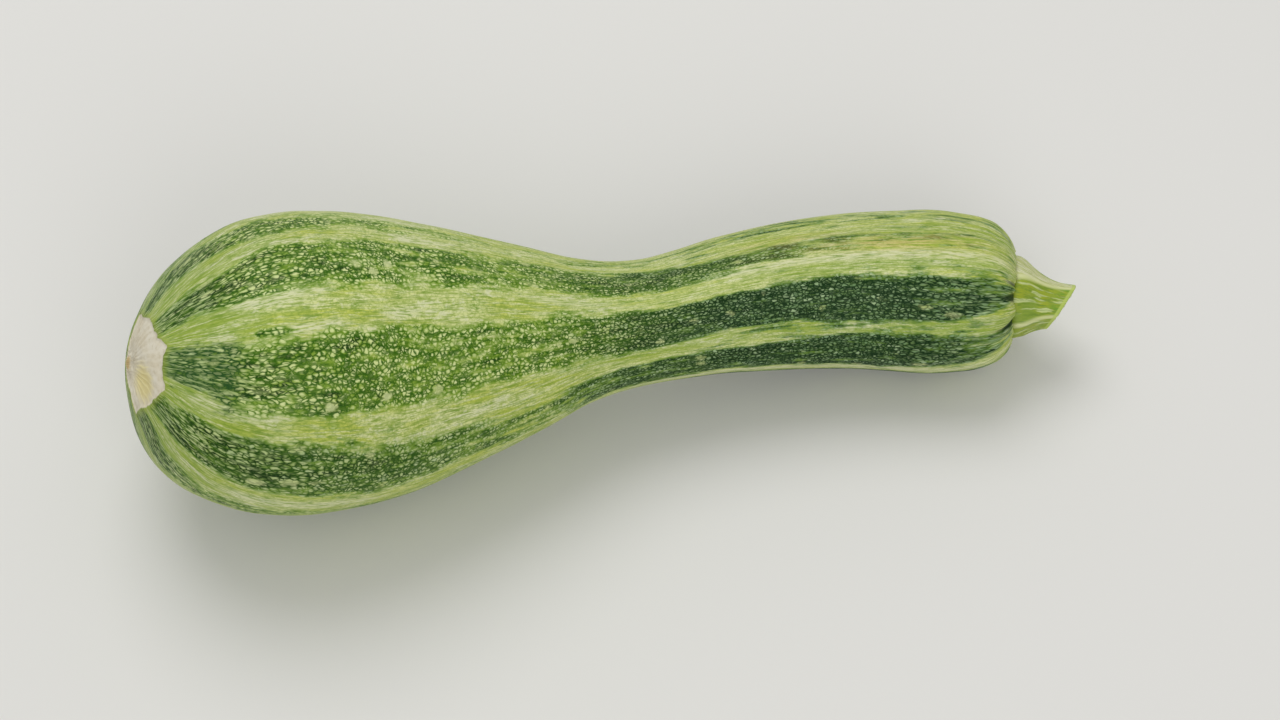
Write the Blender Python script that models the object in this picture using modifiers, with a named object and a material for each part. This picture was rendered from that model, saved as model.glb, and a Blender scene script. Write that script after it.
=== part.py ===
"""A whole courgette lying on its side: a pear-shaped striped fruit and its short cut stem.

Metres, +Z up. +X runs from the blossom end to the stem, and the fruit rests on z = 0.
"""
import math

import bpy
from mathutils import Matrix, Vector

MM = 0.001

# The line through the middle of the fruit, from the blossom end to the stem (millimetres).
# The blossom end turns up and aside, the neck is carried clear of the surface, and the
# stem end comes down onto it.
SPINE = [
    (-118.5, -16.1, 58.9),
    (-96.0, -11.5, 46.9),
    (-69.0, -4.6, 37.3),
    (-40.0, 1.7, 33.1),
    (-15.0, 6.9, 30.6),
    (9.0, 12.6, 27.6),
    (33.0, 19.9, 24.7),
    (57.0, 24.8, 22.2),
    (82.0, 25.8, 20.9),
    (107.5, 24.2, 21.6),
]
SPINE_STEPS = 24        # short straight runs between two points of the spine

# The fruit's outline: distance along the spine, radius (millimetres).
OUTLINE = [
    (0.0, 0.0),
    (0.8, 6.8),
    (4.0, 15.6),
    (12.0, 27.4),
    (24.0, 35.0),
    (38.0, 38.3),  # the widest part of the bulb
    (52.0, 38.4),
    (66.0, 36.4),
    (80.0, 32.6),
    (93.0, 28.3),
    (106.0, 23.6),
    (119.0, 18.8),
    (133.0, 16.5),  # the neck
    (147.0, 16.9),
    (161.0, 18.3),
    (175.0, 19.5),
    (189.0, 20.4),
    (203.0, 21.2),
    (214.0, 21.7),  # the swelling before the stem
    (221.0, 21.1),
    (226.5, 20.1),
    (230.5, 18.3),
    (233.6, 15.4),
    (235.2, 12.3),
]
OUTLINE_STEPS = 3       # rings for each stretch of the outline
SEAT = 234.7            # the flat end that the stem grew on
SEAT_RADIUS = 11.6

RIBS = 5
RIB_HEIGHT = 0.6        # from the mean surface to the crest of a rib
RIB_TURN = 12.0         # the first rib's angle from straight up, in degrees
RIB_START = 5.0         # where the ribs begin to rise, from the blossom end
RIB_FULL = 50.0         # where they have their whole height
RIB_FADE = 6.0          # the stretch before the seat in which they die out
AROUND = 50             # facets around the fruit

# The stem's outline: distance from its foot, radius (millimetres).
STEM_OUTLINE = [
    (0.0, 10.8),
    (0.9, 11.0),
    (3.2, 10.1),
    (6.0, 8.2),
    (9.0, 6.8),
    (12.5, 6.0),
    (20.0, 5.6),
]
STEM_AROUND = 60
STEM_RIDGE = 0.09       # height of a ridge, as a share of the radius
STEM_DROOP = 1.5        # how far the cut end hangs to the side of the foot
STEM_ASIDE = (0.0, -0.87, -0.5)     # the side it hangs to
DROOP_END = 14.0        # the distance from the foot at which it hangs all the way
STEM_LENGTH = 13.6      # from the foot to the middle of the cut
CUT_SLOPE = (0.84, -0.50, -0.23)    # the direction that the cut faces
GAP = 0.3               # between the stem's foot and the fruit

FLOOR_CUTTER = (400.0, 200.0, 40.0)
KNIFE_CUTTER = (40.0, 40.0, 40.0)
MERGE_DISTANCE = 0.00001            # metres: a turned body's seam and ends are joined

SKIN_COLOR = (0.28, 0.42, 0.10)
SKIN_ROUGHNESS = 0.4
STALK_COLOR = (0.50, 0.58, 0.22)
STALK_ROUGHNESS = 0.5


def clear_scene():
    for obj in list(bpy.data.objects):
        bpy.data.objects.remove(obj, do_unlink=True)


def new_collection(name):
    collection = bpy.data.collections.new(name)
    bpy.context.scene.collection.children.link(collection)
    return collection


def material(name, color, roughness):
    made = bpy.data.materials.new(name)
    made.use_nodes = True
    shader = made.node_tree.nodes["Principled BSDF"]
    shader.inputs["Base Color"].default_value = (*color, 1.0)
    shader.inputs["Roughness"].default_value = roughness
    shader.inputs["Metallic"].default_value = 0.0
    return made


def smooth_curve(name, points, steps, collection):
    """A guide curve that passes smoothly through the points, given in millimetres."""
    curve = bpy.data.curves.new(name, "CURVE")
    curve.dimensions = "3D"
    curve.twist_mode = "Z_UP"
    curve.resolution_u = steps
    spline = curve.splines.new("BEZIER")
    spline.bezier_points.add(len(points) - 1)
    for knot, point in zip(spline.bezier_points, points):
        knot.co = Vector(point) * MM
        knot.handle_left_type = knot.handle_right_type = "AUTO"
    guide = bpy.data.objects.new(name, curve)
    guide.hide_render = True
    guide.display_type = "WIRE"
    collection.objects.link(guide)
    return guide


def points_along(guide):
    """The guide curve's points, in order, as the viewport draws them."""
    bpy.context.view_layer.update()
    mesh = guide.evaluated_get(bpy.context.evaluated_depsgraph_get()).to_mesh()
    return [vertex.co.copy() for vertex in mesh.vertices]


def turned(name, outline, around, collection):
    """A closed solid of revolution about X, from an outline of (distance, radius) pairs."""
    profile = bpy.data.meshes.new(name)
    profile.from_pydata(
        [(x * MM, 0.0, r * MM) for x, r in outline],
        [(i, i + 1) for i in range(len(outline) - 1)],
        [],
    )
    body = bpy.data.objects.new(name, profile)
    collection.objects.link(body)
    screw = body.modifiers.new("Turn", "SCREW")
    screw.axis = "X"
    screw.steps = screw.render_steps = around
    screw.use_merge_vertices = True
    screw.merge_threshold = MERGE_DISTANCE
    bpy.context.view_layer.update()
    graph = bpy.context.evaluated_depsgraph_get()
    solid = bpy.data.meshes.new_from_object(body.evaluated_get(graph))
    body.modifiers.clear()
    body.data = solid
    solid.shade_smooth()
    return body


def rib_wave(point):
    """1 on the crest of a rib and -1 in the furrow, from a point's angle around X."""
    angle = math.atan2(-point.y, point.z) - math.radians(RIB_TURN)
    return math.cos(RIBS * angle)


def ramp(value, start, end):
    """0 before start, 1 after end, and smooth between."""
    share = min(max((value - start) / (end - start), 0.0), 1.0)
    return share * share * (3.0 - 2.0 * share)


def place_on(points, distance):
    """The frame at a distance along the spine: X onward, Z up."""
    for start, end in zip(points, points[1:]):
        step = (end - start).length
        if distance <= step:
            break
        distance -= step
    onward = (end - start).normalized()
    across = Vector((0.0, 0.0, 1.0)).cross(onward).normalized()
    up = onward.cross(across)
    frame = Matrix((onward, across, up)).transposed().to_4x4()
    frame.translation = start + onward * distance
    return frame


def box_cutter(name, size, frame, collection):
    """A box whose top face is centred on the frame's origin."""
    bpy.ops.mesh.primitive_cube_add(size=1.0)
    cutter = bpy.context.object
    cutter.name = cutter.data.name = name
    for vertex in cutter.data.vertices:
        vertex.co.z -= 0.5
        vertex.co *= Vector(size) * MM
    cutter.matrix_world = frame
    cutter.hide_render = True
    cutter.display_type = "WIRE"
    for holder in list(cutter.users_collection):
        holder.objects.unlink(cutter)
    collection.objects.link(cutter)
    return cutter


def cut(body, cutter):
    boolean = body.modifiers.new(cutter.name, "BOOLEAN")
    boolean.operation = "DIFFERENCE"
    boolean.object = cutter


def build_fruit(spine, parts, cutters):
    outline_guide = smooth_curve("outline", [(x, 0.0, r) for x, r in OUTLINE], OUTLINE_STEPS, cutters)
    outline = [(point.x / MM, point.z / MM) for point in points_along(outline_guide)]
    outline += [(SEAT, SEAT_RADIUS), (SEAT, 0.0)]
    fruit = turned("fruit", outline, AROUND, parts)
    for vertex in fruit.data.vertices:
        distance = vertex.co.x / MM
        risen = ramp(distance, RIB_START, RIB_FULL)
        height = RIB_HEIGHT * risen * (1.0 - ramp(distance, SEAT - RIB_FADE, SEAT))
        outward = Vector((0.0, vertex.co.y, vertex.co.z)).normalized()
        vertex.co += outward * height * rib_wave(vertex.co) * MM
    bend = fruit.modifiers.new("Bend", "CURVE")
    bend.object = spine
    bend.deform_axis = "POS_X"
    cut(fruit, box_cutter("floor", FLOOR_CUTTER, Matrix(), cutters))
    fruit.data.materials.append(material("skin", SKIN_COLOR, SKIN_ROUGHNESS))
    return fruit


def build_stem(spine, parts, cutters):
    outline = [(0.0, 0.0), *STEM_OUTLINE, (STEM_OUTLINE[-1][0], 0.0)]
    stem = turned("stem", outline, STEM_AROUND, parts)
    hang = Vector(STEM_ASIDE) * STEM_DROOP * MM
    for vertex in stem.data.vertices:
        distance = vertex.co.x / MM
        ridge = STEM_RIDGE * rib_wave(vertex.co)
        vertex.co.y *= 1.0 + ridge
        vertex.co.z *= 1.0 + ridge
        vertex.co += hang * ramp(distance, 0.0, DROOP_END)
    stem.matrix_world = place_on(points_along(spine), (SEAT + GAP) * MM)
    tip = stem.matrix_world @ (Vector((STEM_LENGTH, 0.0, 0.0)) * MM + hang)
    facing = Vector(CUT_SLOPE).normalized()
    knife = (-facing).to_track_quat("Z", "Y").to_matrix().to_4x4()
    knife.translation = tip
    cut(stem, box_cutter("cut", KNIFE_CUTTER, knife, cutters))
    stem.data.materials.append(material("stalk", STALK_COLOR, STALK_ROUGHNESS))
    return stem


def main():
    clear_scene()
    parts = new_collection("courgette")
    cutters = new_collection("guides_and_cutters")
    spine = smooth_curve("spine", SPINE, SPINE_STEPS, cutters)
    build_fruit(spine, parts, cutters)
    build_stem(spine, parts, cutters)


main()
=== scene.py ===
import math

import bpy
import numpy as np
from mathutils import Matrix, Vector, noise


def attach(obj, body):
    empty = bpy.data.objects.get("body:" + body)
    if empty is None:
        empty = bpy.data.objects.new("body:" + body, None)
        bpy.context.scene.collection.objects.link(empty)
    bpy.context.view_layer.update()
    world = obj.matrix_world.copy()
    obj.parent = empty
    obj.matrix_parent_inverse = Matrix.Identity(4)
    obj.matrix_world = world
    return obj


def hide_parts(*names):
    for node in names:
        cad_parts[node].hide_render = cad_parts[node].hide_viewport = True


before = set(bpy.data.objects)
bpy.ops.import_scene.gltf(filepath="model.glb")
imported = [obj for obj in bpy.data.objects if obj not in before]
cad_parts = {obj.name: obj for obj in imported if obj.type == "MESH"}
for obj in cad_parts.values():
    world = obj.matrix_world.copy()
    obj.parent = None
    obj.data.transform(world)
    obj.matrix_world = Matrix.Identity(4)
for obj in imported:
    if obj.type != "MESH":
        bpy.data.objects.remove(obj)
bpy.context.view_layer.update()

MM = 0.001

# ------------------------------------------------------------------------------------
# The camera. It looks down on the fruit from the front, square to its length, so that
# the blossom scar shows on the left and the stem on the right.
# ------------------------------------------------------------------------------------
CAMERA_ELEVATION = math.radians(60)
CAMERA_DISTANCE = 0.791
CAMERA_LENS, CAMERA_SENSOR = 85, 36
CAMERA_AIM = Vector((0.0072, 0.0042, 0.0230))

camera = bpy.data.objects.new("camera", bpy.data.cameras.new("camera"))
bpy.context.scene.collection.objects.link(camera)
camera.data.lens = CAMERA_LENS
camera.data.sensor_width = CAMERA_SENSOR
camera.data.clip_start = 0.01
toward_camera = Vector((0, -math.cos(CAMERA_ELEVATION), math.sin(CAMERA_ELEVATION)))
camera.location = CAMERA_AIM + toward_camera * CAMERA_DISTANCE
camera.rotation_euler = toward_camera.to_track_quat("Z", "Y").to_euler()
bpy.context.scene.camera = camera

# ------------------------------------------------------------------------------------
# The fruit. One berry with a firm waxed rind: an outline turned about its length, pushed
# out into five soft ribs, scarred where the flower dropped, then bent along its spine.
# Sizes are in millimetres, angles in degrees from straight up towards the camera.
# ------------------------------------------------------------------------------------
SPINE = [
    (-118.5, -16.1, 58.9), (-96.0, -11.5, 46.9), (-69.0, -4.6, 37.3), (-40.0, 1.7, 33.1),
    (-15.0, 6.9, 30.6), (9.0, 12.6, 27.6), (33.0, 19.9, 24.7), (57.0, 24.8, 22.2),
    (82.0, 25.8, 20.9), (107.5, 24.2, 21.6),
]
# distance along the spine, radius
OUTLINE = [
    (0.0, 0.0), (0.8, 6.8), (4.0, 15.6), (12.0, 27.4), (24.0, 35.0), (38.0, 38.3),
    (52.0, 38.4), (66.0, 36.4), (80.0, 32.6), (93.0, 28.3), (106.0, 23.6), (119.0, 18.8),
    (133.0, 16.5), (147.0, 16.9), (161.0, 18.3), (175.0, 19.5), (189.0, 20.4),
    (203.0, 21.2), (214.0, 21.7), (221.0, 21.1), (226.5, 20.1), (230.5, 18.3),
    (233.6, 15.4), (235.2, 12.3),
]
SEAT = 234.7
SEAT_RADIUS = 11.6
AROUND = 288
SCAR_RING, BODY_RING, SHOULDER_RING = 0.35, 1.05, 0.42     # spacing of the rings
SCAR_END, SHOULDER_START = 18.0, 240.0                     # along the rind
RIBS, RIB_HEIGHT, RIB_TURN = 5, 0.6, 12.0
GROWTH_RADIUS = 24.0


def ramp(value, start, end):
    """0 at start, 1 at end, and smooth between. Takes arrays."""
    share = np.clip((value - start) / (end - start), 0.0, 1.0)
    return share * share * (3.0 - 2.0 * share)


def smooth_curve(name, points, steps):
    """A guide that passes smoothly through the points."""
    curve = bpy.data.curves.new(name, "CURVE")
    curve.dimensions = "3D"
    curve.twist_mode = "Z_UP"
    curve.resolution_u = steps
    spline = curve.splines.new("BEZIER")
    spline.bezier_points.add(len(points) - 1)
    for knot, point in zip(spline.bezier_points, points):
        knot.co = Vector(point) * MM
        knot.handle_left_type = knot.handle_right_type = "AUTO"
    guide = bpy.data.objects.new(name, curve)
    bpy.context.scene.collection.objects.link(guide)
    return guide


def points_along(guide):
    bpy.context.view_layer.update()
    mesh = guide.evaluated_get(bpy.context.evaluated_depsgraph_get()).to_mesh()
    return np.array([vertex.co / MM for vertex in mesh.vertices])


def activate(obj):
    bpy.ops.object.select_all(action="DESELECT")
    obj.select_set(True)
    bpy.context.view_layer.objects.active = obj


def spun(name, outline, along, around):
    """A closed body spun about X from an outline of (distance, radius) points. Each
    vertex keeps its point's place along the outline in the attribute 'along'."""
    mesh = bpy.data.meshes.new(name)
    edges = [(i, i + 1) for i in range(len(outline) - 1)]
    mesh.from_pydata([(x * MM, 0.0, r * MM) for x, r in outline], edges, [])
    mesh.attributes.new("along", "FLOAT", "POINT").data.foreach_set("value", along)
    body = bpy.data.objects.new(name, mesh)
    bpy.context.scene.collection.objects.link(body)
    activate(body)
    bpy.ops.object.mode_set(mode="EDIT")
    bpy.ops.mesh.select_all(action="SELECT")
    bpy.ops.mesh.spin(steps=around, angle=math.tau, center=(0, 0, 0), axis=(1, 0, 0))
    bpy.ops.mesh.select_all(action="SELECT")
    bpy.ops.mesh.remove_doubles(threshold=0.000002)
    bpy.ops.mesh.normals_make_consistent(inside=False)
    bpy.ops.object.mode_set(mode="OBJECT")
    body.data.shade_smooth()
    return body


def read_points(mesh):
    points = np.empty(len(mesh.vertices) * 3, np.float32)
    mesh.vertices.foreach_get("co", points)
    return points.reshape(-1, 3).astype(float) / MM


def write_points(mesh, points):
    mesh.vertices.foreach_set("co", (points * MM).astype(np.float32).ravel())
    mesh.update()


def read_value(mesh, name):
    values = np.empty(len(mesh.vertices), np.float32)
    mesh.attributes[name].data.foreach_get("value", values)
    return values.astype(float)


def write_value(mesh, name, values):
    made = mesh.attributes.new(name, "FLOAT", "POINT")
    made.data.foreach_set("value", values.astype(np.float32))


def write_vector(mesh, name, vectors):
    made = mesh.attributes.new(name, "FLOAT_VECTOR", "POINT")
    made.data.foreach_set("vector", vectors.astype(np.float32).ravel())


def lumps(points, scale, shift=0.0):
    """Smooth noise from -1 to 1 at each point, with lumps about one scale across."""
    offset = Vector((shift, 2.3 * shift, 0.7 * shift))
    return np.array([noise.noise(Vector(p) / scale + offset) for p in points])


def unroll(mesh, along, turn, name="OFBake"):
    """A map of the whole surface: its length across and its girth up, closed at a seam."""
    corners = np.empty(len(mesh.loops), np.int32)
    mesh.loops.foreach_get("vertex_index", corners)
    starts = np.empty(len(mesh.polygons), np.int32)
    mesh.polygons.foreach_get("loop_start", starts)
    face_of = np.zeros(len(corners), np.int32)
    face_of[starts[1:]] = 1
    face_of = np.cumsum(face_of)
    girth = (turn / math.tau) % 1.0
    at_corner = girth[corners]
    on_axis = np.hypot(*read_points(mesh)[:, 1:].T)[corners] < 0.0005
    off_axis = np.where(on_axis, np.nan, at_corner)
    top = np.full(len(starts), -1.0)
    bottom = np.full(len(starts), 2.0)
    np.fmax.at(top, face_of, off_axis)
    np.fmin.at(bottom, face_of, off_axis)
    crosses = (top - bottom > 0.5)[face_of]
    at_corner = np.where(crosses & (at_corner < 0.5), at_corner + 1.0, at_corner)
    middle = np.where(top - bottom > 0.5, (top + bottom + 1.0) / 2, (top + bottom) / 2)
    at_corner = np.where(on_axis, middle[face_of], at_corner)
    at_corner = at_corner / (1.0 + 1.0 / AROUND)
    across = along[corners]
    mapped = mesh.uv_layers.new(name=name)
    mapped.data.foreach_set("uv", np.stack([across, at_corner], 1).astype(np.float32).ravel())


spine = smooth_curve("spine", SPINE, 24)
outline_guide = smooth_curve("outline", [(x, 0.0, r) for x, r in OUTLINE], 40)
rind = points_along(outline_guide)[:, [0, 2]]
rind_length = np.concatenate([[0.0], np.cumsum(np.hypot(*np.diff(rind, axis=0).T))])
LENGTH = rind_length[-1]
ring_places = np.concatenate([
    np.arange(0.0, SCAR_END, SCAR_RING),
    np.arange(SCAR_END, SHOULDER_START, BODY_RING),
    np.arange(SHOULDER_START, LENGTH, SHOULDER_RING),
    [LENGTH],
])
rings = np.stack([np.interp(ring_places, rind_length, rind[:, i]) for i in (0, 1)], 1)
seat_steps = np.linspace(1.0, 0.0, 8)
seat = np.stack([np.full(8, SEAT), SEAT_RADIUS * seat_steps], 1)
seat_places = LENGTH + 1.0 + (1.0 - seat_steps) * SEAT_RADIUS
fruit = spun(
    "courgette_fruit",
    np.concatenate([rings, seat]),
    np.concatenate([ring_places, seat_places]),
    AROUND,
)

straight = read_points(fruit.data)
along = read_value(fruit.data, "along")
turn = np.arctan2(-straight[:, 1], straight[:, 2])
degrees = np.degrees(turn)

# the ring number, spread over 0 to 1, is the place across the surface's own map
all_places = np.concatenate([ring_places, seat_places])
across = np.interp(along, all_places, np.linspace(0.0, 1.0, len(all_places)))
unroll(fruit.data, across, turn)

# a cylinder as long as the rind: what is even on it keeps its share of the girth
growth = np.stack([along, GROWTH_RADIUS * np.sin(turn), GROWTH_RADIUS * np.cos(turn)], 1)
write_vector(fruit.data, "growth", growth)

# the same counted in cells of the rind, which are longest where it is drawn to the stem
# (distance along the rind, length of a cell, how many go round)
CELL_SIZES = [
    (0, 2.8, 230), (30, 2.3, 235), (60, 1.7, 225), (90, 1.3, 205), (130, 1.1, 165),
    (165, 1.1, 170), (225, 1.4, 185), (240, 2.2, 190), (252, 3.2, 210), (262, 4.5, 220),
]
cell_places, cell_lengths, cells_round = np.array(CELL_SIZES, float).T
cell_steps = np.arange(0.0, LENGTH + 15.0, 0.5)
cell_counts = np.cumsum(0.5 / np.interp(cell_steps, cell_places, cell_lengths))
cell_radius = np.interp(along, cell_places, cells_round) / math.tau
cells = np.stack([
    np.interp(along, cell_steps, cell_counts),
    cell_radius * np.sin(turn),
    cell_radius * np.cos(turn),
], 1)
write_vector(fruit.data, "cells", cells)

# the blossom scar: angle, distance of its ragged edge from the middle of the end
SCAR_EDGE = [
    (-158, 7.4), (-139, 6.2), (-118, 7.4), (-98, 8.4), (-79, 12.2), (-58, 10.6), (-35, 11.1),
    (-11, 11.0), (5, 12.0), (18, 14.6), (30, 13.7), (43, 13.5), (60, 15.8), (75, 13.9),
    (92, 13.4), (118, 12.5), (135, 14.3), (146, 9.2), (165, 8.2),
]
edge_turns, edge_places = np.array(SCAR_EDGE, float).T
scar_edge = np.interp(degrees, edge_turns, edge_places, period=360)
round_end = growth[:, [1, 2, 1]]
scar_edge += 0.45 * lumps(round_end, 2.6) + 0.18 * lumps(round_end, 0.9, 3.0)
scar = scar_edge - along
write_value(fruit.data, "scar", np.clip(scar, -20.0, 20.0))


def from_spot(place, angle):
    """Where each vertex lies from a spot on the blossom end, which is laid out flat."""
    spot_turn = math.radians(angle)
    spot = np.array([place * math.cos(spot_turn), place * math.sin(spot_turn)])
    return np.stack([along * np.cos(turn), along * np.sin(turn)], 1) - spot


def near(place, angle, size):
    """1 at a spot on the blossom end, falling to 0 at its size."""
    return 1.0 - ramp(np.linalg.norm(from_spot(place, angle), axis=1), 0.0, size)


def fibres_from(place, angle, count):
    """Waves that radiate from a spot on the blossom end."""
    here = from_spot(place, angle)
    heading = np.arctan2(here[:, 1], here[:, 0])
    wander = lumps(np.stack([np.cos(heading) * 9, np.sin(heading) * 9, along], 1), 3.0)
    return np.cos(heading * count + 2.5 * wander)


# place and angle of the dry nub and of the hollow beside it, and how wide they are
NUB, NUB_SIZE = (4.6, -162.0), 3.0
HOLLOW, HOLLOW_SIZE = (7.2, 92.0), 7.8
CORK_FIBRES, FIBRE_REACH = 38, 14.0
nub = near(*NUB, NUB_SIZE)
hollow = near(*HOLLOW, HOLLOW_SIZE)
fibres = fibres_from(*NUB, CORK_FIBRES)
write_value(fruit.data, "nub", nub)
write_value(fruit.data, "hollow", hollow)
write_value(fruit.data, "fibres", fibres)

# the creases where the rind is drawn in to the stem, each a wedge that widens to its seat; they
# are carved in, and the rind's colour is also darkened in them as painted shade:
# (angle, half width at the seat, depth)
CREASES = [
    (-168, 5, .6), (-137, 4, .45), (-104, 6, .65), (-66, 4, .45), (-36, 6, .6), (-4, 4, .35),
    (17, 6, .7), (32, 11, 1.), (63, 8, 1.), (90, 4, .5), (118, 6, .65), (156, 4, .5),
]
CREASE_TIP, CREASE_REACH, WEDGE_REACH = 2.5, 13.0, 6.0
crease = np.zeros(len(along))
for angle, half, depth in CREASES:
    apart = np.abs((degrees - angle + 180.0) % 360.0 - 180.0)
    widened = CREASE_TIP + (half - CREASE_TIP) * ramp(along, LENGTH - WEDGE_REACH, LENGTH)
    crease = np.maximum(crease, depth * (1.0 - ramp(apart, 0.0, widened)))
crease *= ramp(along, LENGTH - CREASE_REACH, LENGTH - 1.0)
write_value(fruit.data, "crease", crease)

# the relief of the rind, along its normal: heights and depths in millimetres. Nothing
# stands out of the flat seat.
SWELL_HEIGHT, LUMP_HEIGHT = 0.25, 0.10
PLEATS, PLEAT_HEIGHT = 22.0, 0.16
CREASE_DEPTH = 0.95
SCAR_DEPTH, LIP_HEIGHT = 0.35, 0.22
HOLLOW_DEPTH, NUB_HEIGHT, FIBRE_HEIGHT = 1.0, 0.9, 0.13
on_seat = along > LENGTH + 0.5
rib = np.cos(RIBS * (turn - math.radians(RIB_TURN)))
rib_share = ramp(straight[:, 0], 5.0, 50.0) * (1.0 - ramp(straight[:, 0], SEAT - 6.0, SEAT))
relief = RIB_HEIGHT * rib * rib_share
open_rind = ramp(along, 14.0, 40.0) * (1.0 - ramp(along, LENGTH - 20.0, LENGTH))
relief += SWELL_HEIGHT * lumps(straight, 26.0, 1.0) * open_rind
relief += LUMP_HEIGHT * lumps(growth * (0.25, 1.0, 1.0), 3.2, 2.0) * open_rind
pleats = np.cos(turn * PLEATS + 1.5 * lumps(growth, 9.0, 5.0))
relief += PLEAT_HEIGHT * pleats * ramp(along, LENGTH - 26.0, LENGTH - 4.0)
relief -= CREASE_DEPTH * crease
in_scar = ramp(scar, -0.3, 0.9)
relief -= SCAR_DEPTH * in_scar
relief += LIP_HEIGHT * (1.0 - ramp(np.abs(scar + 0.5), 0.0, 1.4))
relief += in_scar * (0.10 * lumps(straight, 1.6, 4.0) + 0.05 * lumps(straight, 0.7, 6.0))
relief -= HOLLOW_DEPTH * hollow
relief += NUB_HEIGHT * nub
relief += FIBRE_HEIGHT * fibres * in_scar * ramp(near(*NUB, FIBRE_REACH), 0.0, 0.6)
relief[on_seat] = 0.0

slope = np.gradient(rind, rind_length, axis=0)
facing_x = np.interp(along, rind_length, -slope[:, 1])
facing_r = np.interp(along, rind_length, slope[:, 0])
facing_x[on_seat] = 1.0
facing_r[on_seat] = 0.0
outward = np.stack([
    facing_x,
    -facing_r * np.sin(turn),
    facing_r * np.cos(turn),
], 1)
write_points(fruit.data, straight + outward * relief[:, None])

bend = fruit.modifiers.new("bend", "CURVE")
bend.object = spine
bend.deform_axis = "POS_X"
activate(fruit)
bpy.ops.object.modifier_apply(modifier="bend")

# the rind gives where the fruit's weight rests on the table
resting = read_points(fruit.data)
resting[:, 2] = np.maximum(resting[:, 2], 0.0)
write_points(fruit.data, resting)

# The dark stripes, from the blossom end to the stem:
# (distance along the rind, middle, half width, strength).
STRIPES = [
    # far side of the top
    [(12, -56, 12, .85), (30, -47, 10, 1.1), (45, -39, 7, 1.), (62, -37, 6, .85),
     (80, -38, 5, .6), (110, -40, 5, .25), (160, -44, 6, .3), (200, -43, 8, .36),
     (250, -42, 7, .3)],
    # top, fading out over the stem half
    [(12, -9, 12, .8), (25, -9, 10, 1.1), (42, -9, 11, 1.), (62, -9, 12, .85), (85, -11, 13, .7),
     (120, -12, 13, .65), (140, -13, 14, .85), (156, -12, 15, .95),
     (172, -9, 11, .95), (188, -9, 9, .8), (203, -10, 8, .5), (225, -11, 9, .3),
     (255, -12, 9, .2)],
    # near side, the widest
    [(12, 33, 12, .7), (26, 35, 14, .8), (38, 37, 14, 1.), (48, 38, 14, .92), (60, 36, 15.5, .9),
     (100, 35, 16, .74), (125, 36, 16, .66), (142, 36, 18, .88), (157, 37, 18, .95),
     (175, 35, 15, .95), (200, 35, 16, 1.), (228, 36, 17, 1.), (244, 35, 16, .9),
     (254, 32, 13, .75), (262, 28, 10, .6)],
    # low on the near side
    [(12, 82, 12, .7), (26, 76, 12, 1.15), (42, 76, 12, 1.05), (58, 77, 12, .8),
     (90, 78, 11, .75), (105, 78, 11, .65), (120, 82, 10, .45), (135, 82, 11, .55),
     (150, 80, 13, .8), (190, 79, 13, .85), (212, 78, 16, .9), (232, 77, 17, .9),
     (246, 75, 14, .75), (260, 70, 9, .55)],
    # thin lines and one short dark mark in the pale bands between them
    [(175, 56, 1, 0), (190, 56, 7, .24), (250, 56, 7, .26), (258, 56, 3, 0)],
    [(226, 14, 0, 0), (240, 13.5, 2, .5), (258, 13, 2.5, .6), (262, 13, 1, 0)],
    [(38, 19, 0, 0), (41, 18.8, .5, 1.9), (48, 18.3, .5, 1.7), (52, 18, 0, 0)],
    [(75, 101, 0, 0), (90, 101, 1, .5), (140, 101, 1, .5), (150, 101, 0, 0)],
    # the underside and the back
    [(12, 119, 14, 1.), (30, 114, 9, 1.05), (46, 111, 7, .8), (70, 111, 6, .5), (110, 114, 8, .6),
     (160, 117, 10, .8), (220, 117, 10, .85), (258, 115, 8, .4)],
    [(12, 154, 11, .6), (35, 152, 12, .9), (80, 150, 11, .8), (130, 152, 11, .6),
     (190, 152, 12, .9), (240, 153, 12, .8), (260, 153, 8, .4)],
    [(12, 190, 12, .6), (40, 189, 13, .8), (90, 190, 12, .6), (130, 190, 12, .7),
     (200, 189, 12, .8), (260, 188, 8, .4)],
    [(12, 226, 10, .7), (35, 226, 12, .9), (90, 227, 13, .9), (130, 227, 12, .7),
     (170, 226, 14, .9), (235, 225, 14, .9), (260, 225, 8, .4)],
    [(12, 262, 11, .6), (40, 260, 10, .9), (80, 259, 9, .7), (130, 260, 11, .7),
     (200, 260, 13, .95), (240, 260, 12, .8), (260, 260, 8, .4)],
    [(12, 288, 9, .5), (40, 290, 8, .7), (80, 291, 8, .6), (130, 290, 9, .6), (170, 289, 9, .8),
     (215, 290, 9, .7), (260, 290, 7, .4)],
]
STRIPE_EDGE = 9.0       # degrees over which a stripe fades out


def banded(bands, edge):
    """How far each spot lies within any of the bands that run along the rind."""
    field = np.zeros(len(along))
    for knots in bands:
        places, middles, halves, strengths = np.array(knots, float).T
        middle, half, share = (
            np.interp(along, places, v) for v in (middles, halves, strengths)
        )
        apart = np.abs((degrees - middle + 180.0) % 360.0 - 180.0)
        fill = 1.0 - ramp(apart - half, -edge / 2, edge / 2)
        field = np.maximum(field, share * fill)
    return field


stripe = banded(STRIPES, STRIPE_EDGE)
stripe *= 1.0 - ramp(along, LENGTH - 2.0, LENGTH + 1.0)
write_value(fruit.data, "stripe", stripe)

# how far the green has turned blue: most on the stripes of the stem half
blue = ramp(along, 120.0, 184.0) * (0.55 + 0.45 * ramp(np.abs(degrees), 5.0, 25.0))
low_side = 1.0 - ramp(np.abs(degrees - 78.0), 12.0, 30.0)
blue = np.maximum(blue, 0.42 * low_side * ramp(along, 22.0, 40.0))
blue = np.maximum(blue, 0.85 * low_side * ramp(along, 105.0, 150.0))
blue = np.maximum(blue, 0.4 * (1.0 - ramp(along, 24.0, 38.0)))
write_value(fruit.data, "blue", blue)

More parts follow.
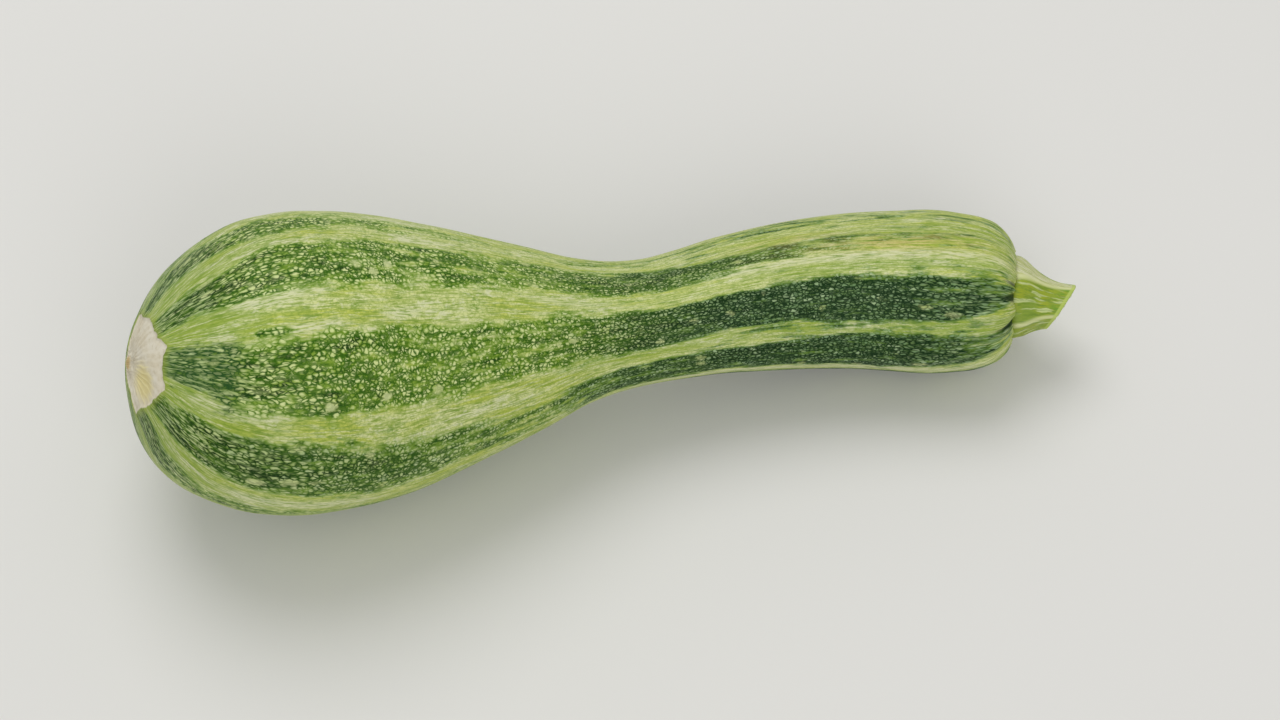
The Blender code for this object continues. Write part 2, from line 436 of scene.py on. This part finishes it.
# the pale bands are greener round the blossom end, and olive in a few places further on
OLIVE_BANDS = [
    [(178, 11, 2, 0), (198, 11, 4, .75), (258, 10, 4, .75), (263, 10, 2, .4)],
    [(120, 56, 2, 0), (150, 57, 5, .6), (256, 56, 7, .8), (262, 56, 5, .5)],
    [(165, -14, 3, 0), (200, -15, 8, .45), (262, -20, 14, .5)],
]
YOUNG_EDGE, CREAM_EDGE = 5.0, 4.0       # degrees over which these bands fade out
young = np.maximum(1.0 - ramp(along, 22.0, 62.0), banded(OLIVE_BANDS, YOUNG_EDGE))
write_value(fruit.data, "young", young)

# how far the rind is drawn in towards either end
drawn_in = np.maximum(1.0 - ramp(along, 26.0, 60.0), ramp(along, 234.0, 250.0))
write_value(fruit.data, "drawn_in", drawn_in)

# where a stripe starts at the scar its net is still soft
soft = (1.0 - ramp(along, 33.0, 40.0)) * (1.0 - ramp(np.abs(degrees - 38.0), 16.0, 26.0))
write_value(fruit.data, "soft", soft)

# the cream ribs and bands: (distance along the rind, middle, half width, strength)
CREAM_BANDS = [
    [(150, 2, 1, 0), (172, 4, 2, .5), (190, 4, 3, .75), (235, 3, 3.5, .9), (258, 2, 3, .6),
     (262, 2, 3, 0)],
    [(28, 2, 1, 0), (36, 3, 3, .8), (62, 3, 3, .7), (70, 3, 1, 0)],
    [(40, 19, 0, 0), (47, 19, 2, .9), (64, 18, 2, .9), (72, 17, 0, .1), (88, 14, 2, .8),
     (100, 13, 1, .1)],
    [(120, 4, 0, 0), (130, 8, 2, .6), (150, 12, 2, .4), (160, 13, 0, 0)],
    [(140, 98, 1, 0), (160, 97, 4, .8), (250, 98, 5, .8), (262, 98, 3, 0)],
    [(20, 54, 1, 0), (26, 54, 3, .7), (42, 53, 3, .6), (50, 53, 1, 0)],
    [(34, 97, 1, 0), (44, 97, 3, .7), (75, 97, 3, .7), (90, 97, 1, 0)],
]
write_value(fruit.data, "cream", banded(CREAM_BANDS, CREAM_EDGE))

# yellowed and tan patches on the upper side of the stem half
yellow = np.exp(-((along - 228.0) / 26.0) ** 2 - ((degrees + 8.0) / 9.0) ** 2)
yellow += 0.8 * np.exp(-((along - 198.0) / 14.0) ** 2 - ((degrees + 22.0) / 5.0) ** 2)
write_value(fruit.data, "yellow", yellow)


def srgb(red, green, blue_part):
    """A colour as a display shows it, 0 to 255, in the linear light that shaders use."""
    parts = [c / 255 for c in (red, green, blue_part)]
    linear = [c / 12.92 if c <= 0.04045 else ((c + 0.055) / 1.055) ** 2.4 for c in parts]
    return (*linear, 1.0)


class Field:
    """A value that varies over a surface: a node's socket that does sums."""

    def __init__(self, tree, socket=None):
        self.tree = tree
        self.socket = socket

    def node(self, kind, settings=None, values=None, output=0):
        made = self.tree.nodes.new(kind)
        for name, value in (settings or {}).items():
            setattr(made, name, value)
        for name, value in (values or {}).items():
            if isinstance(value, Field):
                self.tree.links.new(value.socket, made.inputs[name])
            else:
                made.inputs[name].default_value = value
        return Field(self.tree, made.outputs[output])

    def maths(self, operation, *values):
        return self.node("ShaderNodeMath", {"operation": operation}, dict(enumerate(values)))

    def __add__(self, other):
        return self.maths("ADD", self, other)

    def __sub__(self, other):
        return self.maths("SUBTRACT", self, other)

    def __rsub__(self, other):
        return self.maths("SUBTRACT", other, self)

    def __mul__(self, other):
        return self.maths("MULTIPLY", self, other)

    __radd__ = __add__
    __rmul__ = __mul__

    def most(self, other):
        return self.maths("MAXIMUM", self, other)

    def ramp(self, start, end):
        """0 at start, 1 at end, smooth between; start may be the higher one."""
        settings = {"interpolation_type": "SMOOTHSTEP"}
        rising = {0: self, 1: start, 2: end}
        if isinstance(start, (int, float)) and start > end:
            rising = {0: self, 1: end, 2: start, 3: 1.0, 4: 0.0}
        return self.node("ShaderNodeMapRange", settings, rising)

    def stretched(self, along_x, along_y, along_z):
        scale = {0: self, 1: (along_x, along_y, along_z)}
        return self.node("ShaderNodeVectorMath", {"operation": "MULTIPLY"}, scale)

    def moved(self, other):
        return self.node("ShaderNodeVectorMath", {"operation": "ADD"}, {0: self, 1: other})

    def attribute(self, name, output="Fac"):
        return self.node("ShaderNodeAttribute", {"attribute_name": name}, output=output)

    def noise(self, scale, detail=2.0, roughness=0.5, output="Fac"):
        values = {"Vector": self, "Scale": scale, "Detail": detail, "Roughness": roughness}
        return self.node("ShaderNodeTexNoise", {}, values, output)

    def mix(self, low, high):
        """low where this field is 0, high where it is 1."""
        values = {0: self, 6: low, 7: high}
        return self.node("ShaderNodeMix", {"data_type": "RGBA"}, values, output=2)


def new_material(name):
    made = bpy.data.materials.new(name)
    made.use_nodes = True
    shader = made.node_tree.nodes["Principled BSDF"]
    return made, shader, Field(made.node_tree)


def plug(tree, field, socket):
    tree.links.new(field.socket, socket)


# the colours of the rind: pale bands first, then the cells and walls of the dark net
YELLOW_GREEN = srgb(184, 193, 88)
PALE_YELLOW = srgb(202, 208, 140)
YOUNG_GREEN = srgb(134, 160, 62)
STRAW = srgb(209, 212, 162)
STREAK_GREEN = srgb(140, 164, 56)
SPECK_GREEN = srgb(140, 162, 66)
HAIR_GREEN = srgb(126, 152, 54)
VEIN_GREEN = srgb(104, 138, 40)
FAINT_WALL = srgb(120, 148, 50)
CREAM = srgb(213, 214, 177)
DULL_CELL = srgb(116, 150, 42)
DULL_BLUE_CELL = srgb(58, 96, 54)
BRIGHT_CELL = srgb(206, 217, 150)
BRIGHT_BLUE_CELL = srgb(104, 138, 100)
CLEAR_BLUE_CELL = srgb(158, 184, 142)
BLOTCH = srgb(192, 202, 142)
FLECK = srgb(192, 206, 142)
BLUE_FLECK = srgb(160, 184, 124)
WALL = srgb(50, 94, 0)
BLUE_WALL = srgb(8, 46, 6)
DEEP_WALL = srgb(8, 42, 0)
WEAK_WALL = srgb(104, 140, 30)
SOFT_WALL = srgb(36, 76, 28)
YELLOWED = srgb(204, 186, 108)
# painted shade: a near-black green that is laid into the creases at the stem, where shade falls
PAINTED_CREASE_SHADE = srgb(4, 42, 4)

rind_material, shader, start = new_material("striped_rind")
growth_field = start.attribute("growth", "Vector")
cells_field = start.attribute("cells", "Vector")
stripe_field = start.attribute("stripe")
blue_field = start.attribute("blue")
yellow_field = start.attribute("yellow")
scar_field = start.attribute("scar")
crease_shade_mask = start.attribute("crease")
cream_field = start.attribute("cream")
young_field = start.attribute("young")
soft_field = start.attribute("soft")
drawn_in_field = start.attribute("drawn_in")

# growth is never quite straight: the rind's cells and streaks wander a little. A field is
# stretched by lumps to the millimetre, first along the fruit and then across it.
wander = cells_field.noise(0.30, 2.0, 0.5, "Color").stretched(1.5, 1.5, 1.5)
ripple = cells_field.noise(1.1, 1.0, 0.5, "Color").stretched(0.7, 0.7, 0.7)
cell_space = cells_field.moved(wander).moved(ripple)
drift = growth_field.stretched(0.25, 1.0, 1.0).noise(0.12, 1.0, 0.5, "Color")
streak_space = growth_field.moved(drift.stretched(0.0, 2.2, 2.2))
broad_streaks = streak_space.stretched(0.045, 0.42, 0.42).noise(1.0, 2.0, 0.5)
edge_streaks = streak_space.stretched(0.07, 0.60, 0.60).noise(1.0, 4.0, 0.6)
fine_streaks = streak_space.stretched(0.12, 1.7, 1.7).noise(1.0, 3.0, 0.65)
hairs = streak_space.stretched(0.24, 3.6, 3.6).noise(1.0, 2.0, 0.6)
clumps = growth_field.stretched(0.14, 0.34, 0.34).noise(1.0, 3.0, 0.6)
grains = cell_space.stretched(0.8, 0.8, 0.8).noise(1.0, 2.0, 0.6)

# the dark net: walls between stretched cells, wider and darker where a stripe is strong
walls = cell_space.node(
    "ShaderNodeTexVoronoi", {"feature": "DISTANCE_TO_EDGE"}, {"Vector": cell_space, "Scale": 1.0}
)
cores = cell_space.node("ShaderNodeTexVoronoi", {}, {"Vector": cell_space, "Scale": 1.0})
tone = cell_space.node("ShaderNodeTexVoronoi", {}, {"Vector": cell_space, "Scale": 1.0}, "Color")
tone = tone.node("ShaderNodeSeparateColor", {}, {0: tone})
strength = stripe_field + 2.0 * (edge_streaks - 0.5) + 1.2 * (clumps - 0.5)
darkness = strength.ramp(0.15, 1.05)
wall_width = 0.03 + (0.08 + 0.02 * blue_field) * darkness
wall_width = wall_width + 0.50 * (fine_streaks - 0.5) * darkness
net = 1.0 - walls.ramp(wall_width - 0.10, wall_width + 0.17 + 0.12 * soft_field)
threads = cell_space.stretched(0.13, 0.50, 0.50).noise(1.0, 2.0, 0.5) - 0.5
threads = threads.maths("ABSOLUTE", threads).ramp(0.050, 0.012)
net = net.most(0.85 * threads * (1.0 - soft_field))
mottle = cell_space.stretched(0.30, 0.45, 0.45).noise(1.0, 2.0, 0.5).ramp(0.60, 0.44)
net = net.most(0.7 * mottle * soft_field)
net = net * strength.ramp(0.15, 0.62)

# long pale flecks where the rind is drawn in to either end
flecks = cell_space.stretched(0.30, 1.1, 1.1).noise(1.0, 1.0, 0.5).ramp(0.54, 0.64)
net = net * (1.0 - 0.6 * flecks * drawn_in_field)

# pale flecks and blotches, where the net has missed a patch
BLOTCH_SIZE = 4.2       # in cells
blotch_space = cell_space.stretched(1 / BLOTCH_SIZE, 1 / BLOTCH_SIZE, 1 / BLOTCH_SIZE)
blotches = blotch_space.node("ShaderNodeTexVoronoi", {}, {"Vector": blotch_space, "Scale": 1.0})
chance = blotch_space.node(
    "ShaderNodeTexVoronoi", {}, {"Vector": blotch_space, "Scale": 1.0}, "Color"
)
chance = chance.node("ShaderNodeSeparateColor", {}, {0: chance})
blotches = (blotches + 0.55 * (grains - 0.5)).ramp(0.40, 0.14) * chance.ramp(0.76, 0.84)
blotches = blotches * (1.0 - 0.5 * blue_field)
net = net * (1.0 - 0.8 * blotches)

# the pale bands, streaked along their length with yellow-green and cream
patches = growth_field.stretched(0.022, 0.10, 0.10).noise(1.0, 2.0, 0.5)
light_rind = (0.7 * broad_streaks + 0.5 * patches).ramp(0.50, 0.68).mix(YELLOW_GREEN, PALE_YELLOW)
light_rind = (0.70 * young_field).mix(light_rind, YOUNG_GREEN)
light_rind = (0.72 * fine_streaks.ramp(0.48, 0.60)).mix(light_rind, STRAW)
light_rind = (0.52 * fine_streaks.ramp(0.46, 0.38)).mix(light_rind, STREAK_GREEN)
specks = growth_field.stretched(0.75, 1.5, 1.5).noise(1.0, 1.0, 0.5)
light_rind = (0.42 * specks.ramp(0.47, 0.37)).mix(light_rind, SPECK_GREEN)
light_rind = (0.70 * hairs.ramp(0.48, 0.38)).mix(light_rind, HAIR_GREEN)
veins = streak_space.stretched(0.06, 1.1, 1.1).noise(1.0, 1.0, 0.5) - 0.5
veins = veins.maths("ABSOLUTE", veins).ramp(0.030, 0.008)
light_rind = (0.70 * veins * clumps.ramp(0.38, 0.54)).mix(light_rind, VEIN_GREEN)
light_rind = (0.34 * walls.ramp(0.16, 0.03)).mix(light_rind, FAINT_WALL)
cream_patches = (0.7 * (broad_streaks + 0.5 * grains).ramp(0.86, 0.95)).most(cream_field)
cream_share = cream_patches * (0.92 - 0.75 * hairs.ramp(0.54, 0.42))
light_rind = cream_share.mix(light_rind, CREAM)

# the cells between the walls, each lit a little differently, and then the walls
cell_glow = 0.45 * tone + 0.45 * cores.ramp(0.66, 0.10) + 0.5 * (grains - 0.5)
cell_colour = cell_glow.ramp(0.08, 0.72).mix(
    blue_field.mix(DULL_CELL, DULL_BLUE_CELL), blue_field.mix(BRIGHT_CELL, BRIGHT_BLUE_CELL)
)
cell_colour = (0.8 * blue_field * tone.ramp(0.88, 0.93)).mix(cell_colour, CLEAR_BLUE_CELL)
between = (0.85 * strength.ramp(0.15, 0.60) * (1.0 - blotches)).mix(light_rind, cell_colour)
between = (blotches * darkness).mix(between, BLOTCH)
fleck_colour = blue_field.mix(FLECK, BLUE_FLECK)
between = (0.7 * flecks * drawn_in_field * darkness).mix(between, fleck_colour)
wall_colour = blue_field.mix(WALL, BLUE_WALL)
wall_colour = (0.8 * strength.ramp(0.85, 1.25)).mix(wall_colour, DEEP_WALL)
wall_colour = strength.ramp(0.80, 0.35).mix(wall_colour, WEAK_WALL)
wall_colour = soft_field.mix(wall_colour, SOFT_WALL)
skin = net.mix(between, wall_colour)
skin = (0.6 * yellow_field * fine_streaks.ramp(0.40, 0.60)).mix(skin, YELLOWED)
# painted shade: the rind is darkened almost to black-green in the carved creases at the stem,
# standing in for the shade that falls in them
skin = (0.94 * crease_shade_mask.ramp(0.15, 0.85)).mix(skin, PAINTED_CREASE_SHADE)

# the corky scar, its yellow hollow and its dry tan nub
CORK_GREY = srgb(209, 200, 176)
CORK_CREAM = srgb(218, 212, 193)
CORK_GRAIN = srgb(190, 180, 152)
CORK_FIBRE = srgb(226, 220, 202)
HOLLOW_YELLOW = srgb(212, 197, 122)
HOLLOW_FIBRE = srgb(228, 218, 164)
NUB_TAN = srgb(208, 184, 132)
SCAR_FRINGE = srgb(150, 164, 66)
cork_space = start.node("ShaderNodeTexCoord", {}, {}, "Object")
cork_grain = cork_space.noise(900.0, 3.0, 0.6)
cork_patches = cork_space.noise(260.0, 2.0, 0.5)
cork = cork_patches.ramp(0.35, 0.7).mix(CORK_GREY, CORK_CREAM)
cork = (0.45 * cork_grain.ramp(0.50, 0.66)).mix(cork, CORK_GRAIN)
hollow_field = start.attribute("hollow")
nub_field = start.attribute("nub")
fibre_field = start.attribute("fibres")
cork = (0.35 * fibre_field.ramp(-0.2, 1.0)).mix(cork, CORK_FIBRE)
cork = (0.7 * hollow_field.ramp(0.02, 0.8)).mix(cork, HOLLOW_YELLOW)
hollow_fibres = hollow_field.ramp(0.02, 0.4) * fibre_field.ramp(0.3, 1.0)
cork = (0.65 * hollow_fibres).mix(cork, HOLLOW_FIBRE)
cork = nub_field.ramp(0.1, 0.7).mix(cork, NUB_TAN)
fringe = scar_field.ramp(-2.2, 0.0)
skin = (0.55 * fringe).mix(skin, SCAR_FRINGE)
scar_mask = scar_field.ramp(-0.15, 0.25)
plug(rind_material.node_tree, scar_mask.mix(skin, cork), shader.inputs["Base Color"])

roughness = 0.44 + 0.10 * (clumps - 0.5) + 0.06 * net + 0.40 * scar_mask
plug(rind_material.node_tree, roughness, shader.inputs["Roughness"])
GRAIN_DEPTH = 0.15 * MM
pores = growth_field.stretched(0.9, 1.4, 1.4).noise(1.0, 2.0, 0.6)
height = 0.5 * pores - 0.35 * net + 0.5 * fine_streaks + 0.8 * cork_grain * scar_mask
bump = height.node(
    "ShaderNodeBump", {}, {"Height": height, "Strength": 0.35, "Distance": GRAIN_DEPTH}
)
plug(rind_material.node_tree, bump, shader.inputs["Normal"])
shader.inputs["Specular IOR Level"].default_value = 0.13
fruit.data.materials.clear()
fruit.data.materials.append(rind_material)
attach(fruit, "root")
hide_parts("fruit")

# ------------------------------------------------------------------------------------
# The stem. What is left of the stalk that fed the fruit: tough and fibrous, drawn into
# five ridges, flared where it grips the shoulder, and cut across at a slant by a knife.
# ------------------------------------------------------------------------------------
STEM_OUTLINE = [
    (-1.2, 10.3), (0.0, 10.9), (0.9, 11.0), (3.2, 10.1), (6.0, 8.2), (9.0, 6.8),
    (12.5, 6.0), (20.0, 5.6),
]
STEM_GAP = 0.3
STEM_LENGTH = 13.6
STEM_DROOP = np.array([0.0, -0.87, -0.5]) * 1.5
CUT_SLOPE = np.array([0.84, -0.50, -0.23]) / math.hypot(0.84, 0.50, 0.23)
DROOP_END = 14.0
RIDGES, RIDGE_SHARE, RIDGE_TURN, RIDGE_DRIFT = 5, 0.09, 3.0, -1.2
CUT_EDGE = 0.25
PLACEHOLDER_SIZE = 10.0     # of the plain body that is then shaped
SIDE_FIBRES, FIBRE_RISE = 44.0, 0.05
BUNDLES, BUNDLE_PLACE, BUNDLE_WIDTH = 10.0, 0.30, 0.09
BUNDLE_RISE, RING_RISE, PITH_DEPTH = 0.12, 0.16, 0.75
FOOT_RINGS, SIDE_RINGS, CUT_RINGS = 5, 90, 34


def place_on(points, distance):
    """The frame at a distance along a guide: X onward, Z up."""
    lengths = np.concatenate([[0.0], np.cumsum(np.linalg.norm(np.diff(points, axis=0), axis=1))])
    step = int(np.searchsorted(lengths, distance)) - 1
    onward = Vector(points[step + 1] - points[step]).normalized()
    across = Vector((0, 0, 1)).cross(onward).normalized()
    placed = Matrix((onward, across, onward.cross(across))).transposed().to_4x4()
    placed.translation = Vector(points[step]) + onward * (distance - lengths[step])
    return np.array(placed)


stem_guide = smooth_curve("stem_outline", [(x, 0.0, r) for x, r in STEM_OUTLINE], 16)
stem_side = points_along(stem_guide)[:, [0, 2]]
stem_frame = place_on(points_along(spine), SEAT + STEM_GAP)


def stem_point(distance, turn, share=1.0):
    """A point of the stem at each distance from the foot and turn about its middle."""
    degrees = np.degrees(turn)
    apart = np.radians((degrees - RIDGE_TURN - RIDGE_DRIFT * distance) * RIDGES / 2)
    ridge = 1.0 - 2.0 * np.sqrt(np.sin(apart) ** 2 + 0.015)
    radius = np.interp(distance, stem_side[:, 0], stem_side[:, 1])
    radius = radius * share * (1.0 + RIDGE_SHARE * ridge * ramp(distance, -1.0, 4.0))
    droop = ramp(distance, 0.0, DROOP_END)[..., None] * STEM_DROOP
    local = np.stack([distance, -radius * np.sin(turn), radius * np.cos(turn)], -1) + droop
    return local @ stem_frame[:3, :3].T + stem_frame[:3, 3]


tip = stem_frame[:3, :3] @ (np.array([STEM_LENGTH, 0.0, 0.0]) + STEM_DROOP) + stem_frame[:3, 3]
side_steps = np.linspace(0.0, 1.0, SIDE_RINGS)
stem_steps = np.concatenate([
    np.linspace(-1.0, 0.0, FOOT_RINGS, endpoint=False),
    side_steps,
    1.0 + np.linspace(0.0, 1.0, CUT_RINGS + 1)[1:] ** 1.3,
])
stem = spun(
    "courgette_stem",
    [(s * PLACEHOLDER_SIZE, PLACEHOLDER_SIZE * min(1.0, 1.0 + s, 2.0 - s)) for s in stem_steps],
    stem_steps,
    AROUND,
)
placeholder = read_points(stem.data)
step = read_value(stem.data, "along")
turn = np.arctan2(-placeholder[:, 1], placeholder[:, 2])
across = np.interp(step, stem_steps, np.linspace(0.0, 1.0, len(stem_steps)))
unroll(stem.data, across, turn)

# how far up each side the slanted cut comes
trial = np.linspace(0.0, 20.0, 201)
trial_turns = np.linspace(-math.pi, math.pi, 181)
heights = np.array([
    np.interp(0.0, (stem_point(trial, np.full(len(trial), angle)) - tip) @ CUT_SLOPE, trial)
    for angle in trial_turns
])
cut_at = np.interp(turn, trial_turns, heights) - CUT_EDGE
foot = STEM_OUTLINE[0][0]
up_side = np.clip(step, 0.0, 1.0)
distance = foot + up_side * (cut_at - foot)
shaped = stem_point(distance, turn, np.clip(1.0 + step, 0.0, 1.0))

# the cut face: a firm edge, a ring of bundles, and pith that has dried and sunk
inward = np.clip(step - 1.0, 0.0, 1.0)
on_cut = step > 1.0
rim = stem_point(cut_at + CUT_EDGE, turn, 0.985)
middle = rim[on_cut].mean(axis=0)
face = middle + (rim - middle) * (1.0 - inward)[:, None]
bundle_ring = np.exp(-((inward - BUNDLE_PLACE) / BUNDLE_WIDTH) ** 2)
bundles = bundle_ring * (0.5 + 0.5 * np.cos(turn * BUNDLES + 0.6))
raised = RING_RISE * bundle_ring + BUNDLE_RISE * bundles - PITH_DEPTH * ramp(inward, 0.38, 0.85)
raised += 0.07 * lumps(face, 1.1, 7.0) + 0.03 * np.sin(face @ (0.3, 0.9, -0.5) * 5.5)
face += CUT_SLOPE * (raised * ramp(inward, 0.0, 0.08))[:, None]
shaped[on_cut] = face[on_cut]

# raised fibres along the sides
waver = lumps(np.stack([distance * 0.3, turn * 8, turn], 1), 2.0)
fibre = np.cos(turn * SIDE_FIBRES + 2.0 * waver)
fibre += 1.2 * lumps(np.stack([distance * 0.25, 8 * np.sin(turn), 8 * np.cos(turn)], 1), 1.3, 2.0)
away = shaped - stem_point(distance, turn, 0.0)
away /= np.maximum(np.linalg.norm(away, axis=1), 0.001)[:, None]
side = (step >= 0.0) & ~on_cut
shaped[side] += (away * (FIBRE_RISE * fibre)[:, None])[side]
write_points(stem.data, shaped)

# places for the stem's pattern: along it and round it, up from the cut, and its bundles
degrees = np.degrees(turn)
run = np.stack([distance, 8.0 * np.sin(turn), 8.0 * np.cos(turn)], 1)
write_vector(stem.data, "run", run)
to_cut = np.where(on_cut, inward * 6.0, distance - cut_at - CUT_EDGE)
write_value(stem.data, "to_cut", to_cut)
write_value(stem.data, "bundles", (bundle_ring + bundles) * on_cut)

# the cream face on top, and how near each spot is to one of the ridges
ridge_at = RIDGE_TURN + RIDGE_DRIFT * distance
cream = ramp(degrees, -75.0, -55.0) * (1.0 - ramp(degrees - ridge_at, -4.0, 3.0))
write_value(stem.data, "cream", cream)
half_apart = 180.0 / RIDGES
from_ridge = (degrees - ridge_at + half_apart) % (2 * half_apart) - half_apart
write_value(stem.data, "ridge", (1.0 - ramp(np.abs(from_ridge), 1.5, 7.0)) * side)

# the colours of the stem: green sides, cream top and ridges, and the pale flesh of the cut
SIDE_OLIVE = srgb(150, 164, 30)
SIDE_GREEN = srgb(130, 154, 46)
SIDE_STREAK = srgb(104, 134, 30)
SIDE_FLECK = srgb(192, 202, 140)
SIDE_HAIR = srgb(112, 140, 42)
CUT_GREEN = srgb(92, 144, 22)
TOP_STREAK = srgb(182, 188, 114)
TOP_CREAM = srgb(214, 214, 176)
TOP_HAIR = srgb(150, 164, 82)
RIDGE_CREAM = srgb(214, 216, 160)
CUT_EDGE_GREEN = srgb(178, 196, 92)
FLESH_GREEN = srgb(186, 200, 130)
FLESH_PALE = srgb(216, 220, 170)
BUNDLE_GREEN = srgb(148, 172, 84)
FLESH_RIM = srgb(150, 176, 70)

stem_material, shader, start = new_material("stem_fibre")
run_field = start.attribute("run", "Vector")
to_cut_field = start.attribute("to_cut")
cream_field = start.attribute("cream")
ridge_field = start.attribute("ridge")
bundle_field = start.attribute("bundles")

# the fibres wander too, and each side is streaked along them
run_wander = run_field.noise(0.25, 2.0, 0.5, "Color").stretched(2.0, 1.2, 1.2)
run_wandering = run_field.moved(run_wander)
stem_streaks = run_wandering.stretched(0.16, 1.5, 1.5).noise(1.0, 3.0, 0.6)
stem_hairs = run_wandering.stretched(0.30, 4.0, 4.0).noise(1.0, 2.0, 0.6)
stem_flecks = run_wandering.stretched(0.13, 0.95, 0.95).noise(1.0, 1.0, 0.5)
stem_patches = run_field.stretched(0.18, 0.22, 0.22).noise(1.0, 2.0, 0.5)
green_side = stem_patches.ramp(0.35, 0.65).mix(SIDE_OLIVE, SIDE_GREEN)
green_side = (0.80 * stem_streaks.ramp(0.50, 0.38)).mix(green_side, SIDE_STREAK)
green_side = (0.85 * stem_flecks.ramp(0.55, 0.64)).mix(green_side, SIDE_FLECK)
green_side = (0.55 * stem_hairs.ramp(0.49, 0.38)).mix(green_side, SIDE_HAIR)
near_cut = to_cut_field.ramp(-5.0, -1.5)
green_side = (0.7 * near_cut * stem_flecks.ramp(0.52, 0.42)).mix(green_side, CUT_GREEN)
cream_side = stem_streaks.ramp(0.40, 0.60).mix(TOP_STREAK, TOP_CREAM)
cream_side = (0.6 * stem_hairs.ramp(0.47, 0.38)).mix(cream_side, TOP_HAIR)
stem_skin = cream_field.mix(green_side, cream_side)
stem_skin = (0.7 * ridge_field).mix(stem_skin, RIDGE_CREAM)
cut_band = to_cut_field.ramp(-1.25, -0.85)
stem_skin = (0.8 * cut_band).mix(stem_skin, CUT_EDGE_GREEN)

# the moist flesh that the knife laid open, greener at its rim and at its bundles
flesh_grain = start.node("ShaderNodeTexCoord", {}, {}, "Object").noise(1400.0, 2.0, 0.6)
flesh = flesh_grain.ramp(0.35, 0.70).mix(FLESH_GREEN, FLESH_PALE)
flesh = bundle_field.ramp(0.8, 1.9).mix(flesh, BUNDLE_GREEN)
flesh = to_cut_field.ramp(0.9, 0.3).mix(flesh, FLESH_RIM)
stem_skin = to_cut_field.ramp(-0.05, 0.10).mix(stem_skin, flesh)
plug(stem_material.node_tree, stem_skin, shader.inputs["Base Color"])

stem_height = 0.6 * stem_hairs + 0.5 * stem_streaks
stem_bump = stem_height.node(
    "ShaderNodeBump", {}, {"Height": stem_height, "Strength": 0.4, "Distance": GRAIN_DEPTH}
)
plug(stem_material.node_tree, stem_bump, shader.inputs["Normal"])
stem_roughness = 0.48 + 0.08 * stem_streaks - 0.12 * to_cut_field.ramp(0.0, 0.3)
plug(stem_material.node_tree, stem_roughness, shader.inputs["Roughness"])
shader.inputs["Specular IOR Level"].default_value = 0.4
stem.data.materials.clear()
stem.data.materials.append(stem_material)
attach(stem, "root")
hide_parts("stem")

# ------------------------------------------------------------------------------------
# The table and the light. A plain pale sheet under soft studio lamps: the main one comes
# from behind and above, so the shadow falls towards the camera.
# ------------------------------------------------------------------------------------
TABLE_SIZE = 6.0
activate(fruit)
bpy.ops.object.select_all(action="DESELECT")
bpy.ops.mesh.primitive_plane_add(size=TABLE_SIZE)
table = bpy.context.object
table.name = "table"
paper, shader, _ = new_material("pale_table")
shader.inputs["Base Color"].default_value = srgb(222, 221, 217)
shader.inputs["Roughness"].default_value = 0.7
shader.inputs["Specular IOR Level"].default_value = 0.2
table.data.materials.append(paper)


def lamp(name, place, aim, size, power):
    light = bpy.data.lights.new(name, "AREA")
    light.shape = "DISK"
    light.size = size
    light.energy = power
    made = bpy.data.objects.new(name, light)
    bpy.context.scene.collection.objects.link(made)
    made.location = place
    made.rotation_euler = (Vector(place) - Vector(aim)).to_track_quat("Z", "Y").to_euler()


LAMP_AIM = (0, 0, 0.02)
lamp("main_light", (-0.20, 0.45, 1.05), LAMP_AIM, 0.8, 5.0)
lamp("front_fill", (0.25, -0.95, 0.70), LAMP_AIM, 0.9, 3.4)
world = bpy.data.worlds.new("room")
bpy.context.scene.world = world
world.use_nodes = True
world.node_tree.nodes["Background"].inputs["Color"].default_value = (1.0, 1.0, 1.0, 1.0)
world.node_tree.nodes["Background"].inputs["Strength"].default_value = 0.58
bpy.context.scene.view_settings.view_transform = "Standard"

for guide in (spine, outline_guide, stem_guide):
    bpy.data.objects.remove(guide)
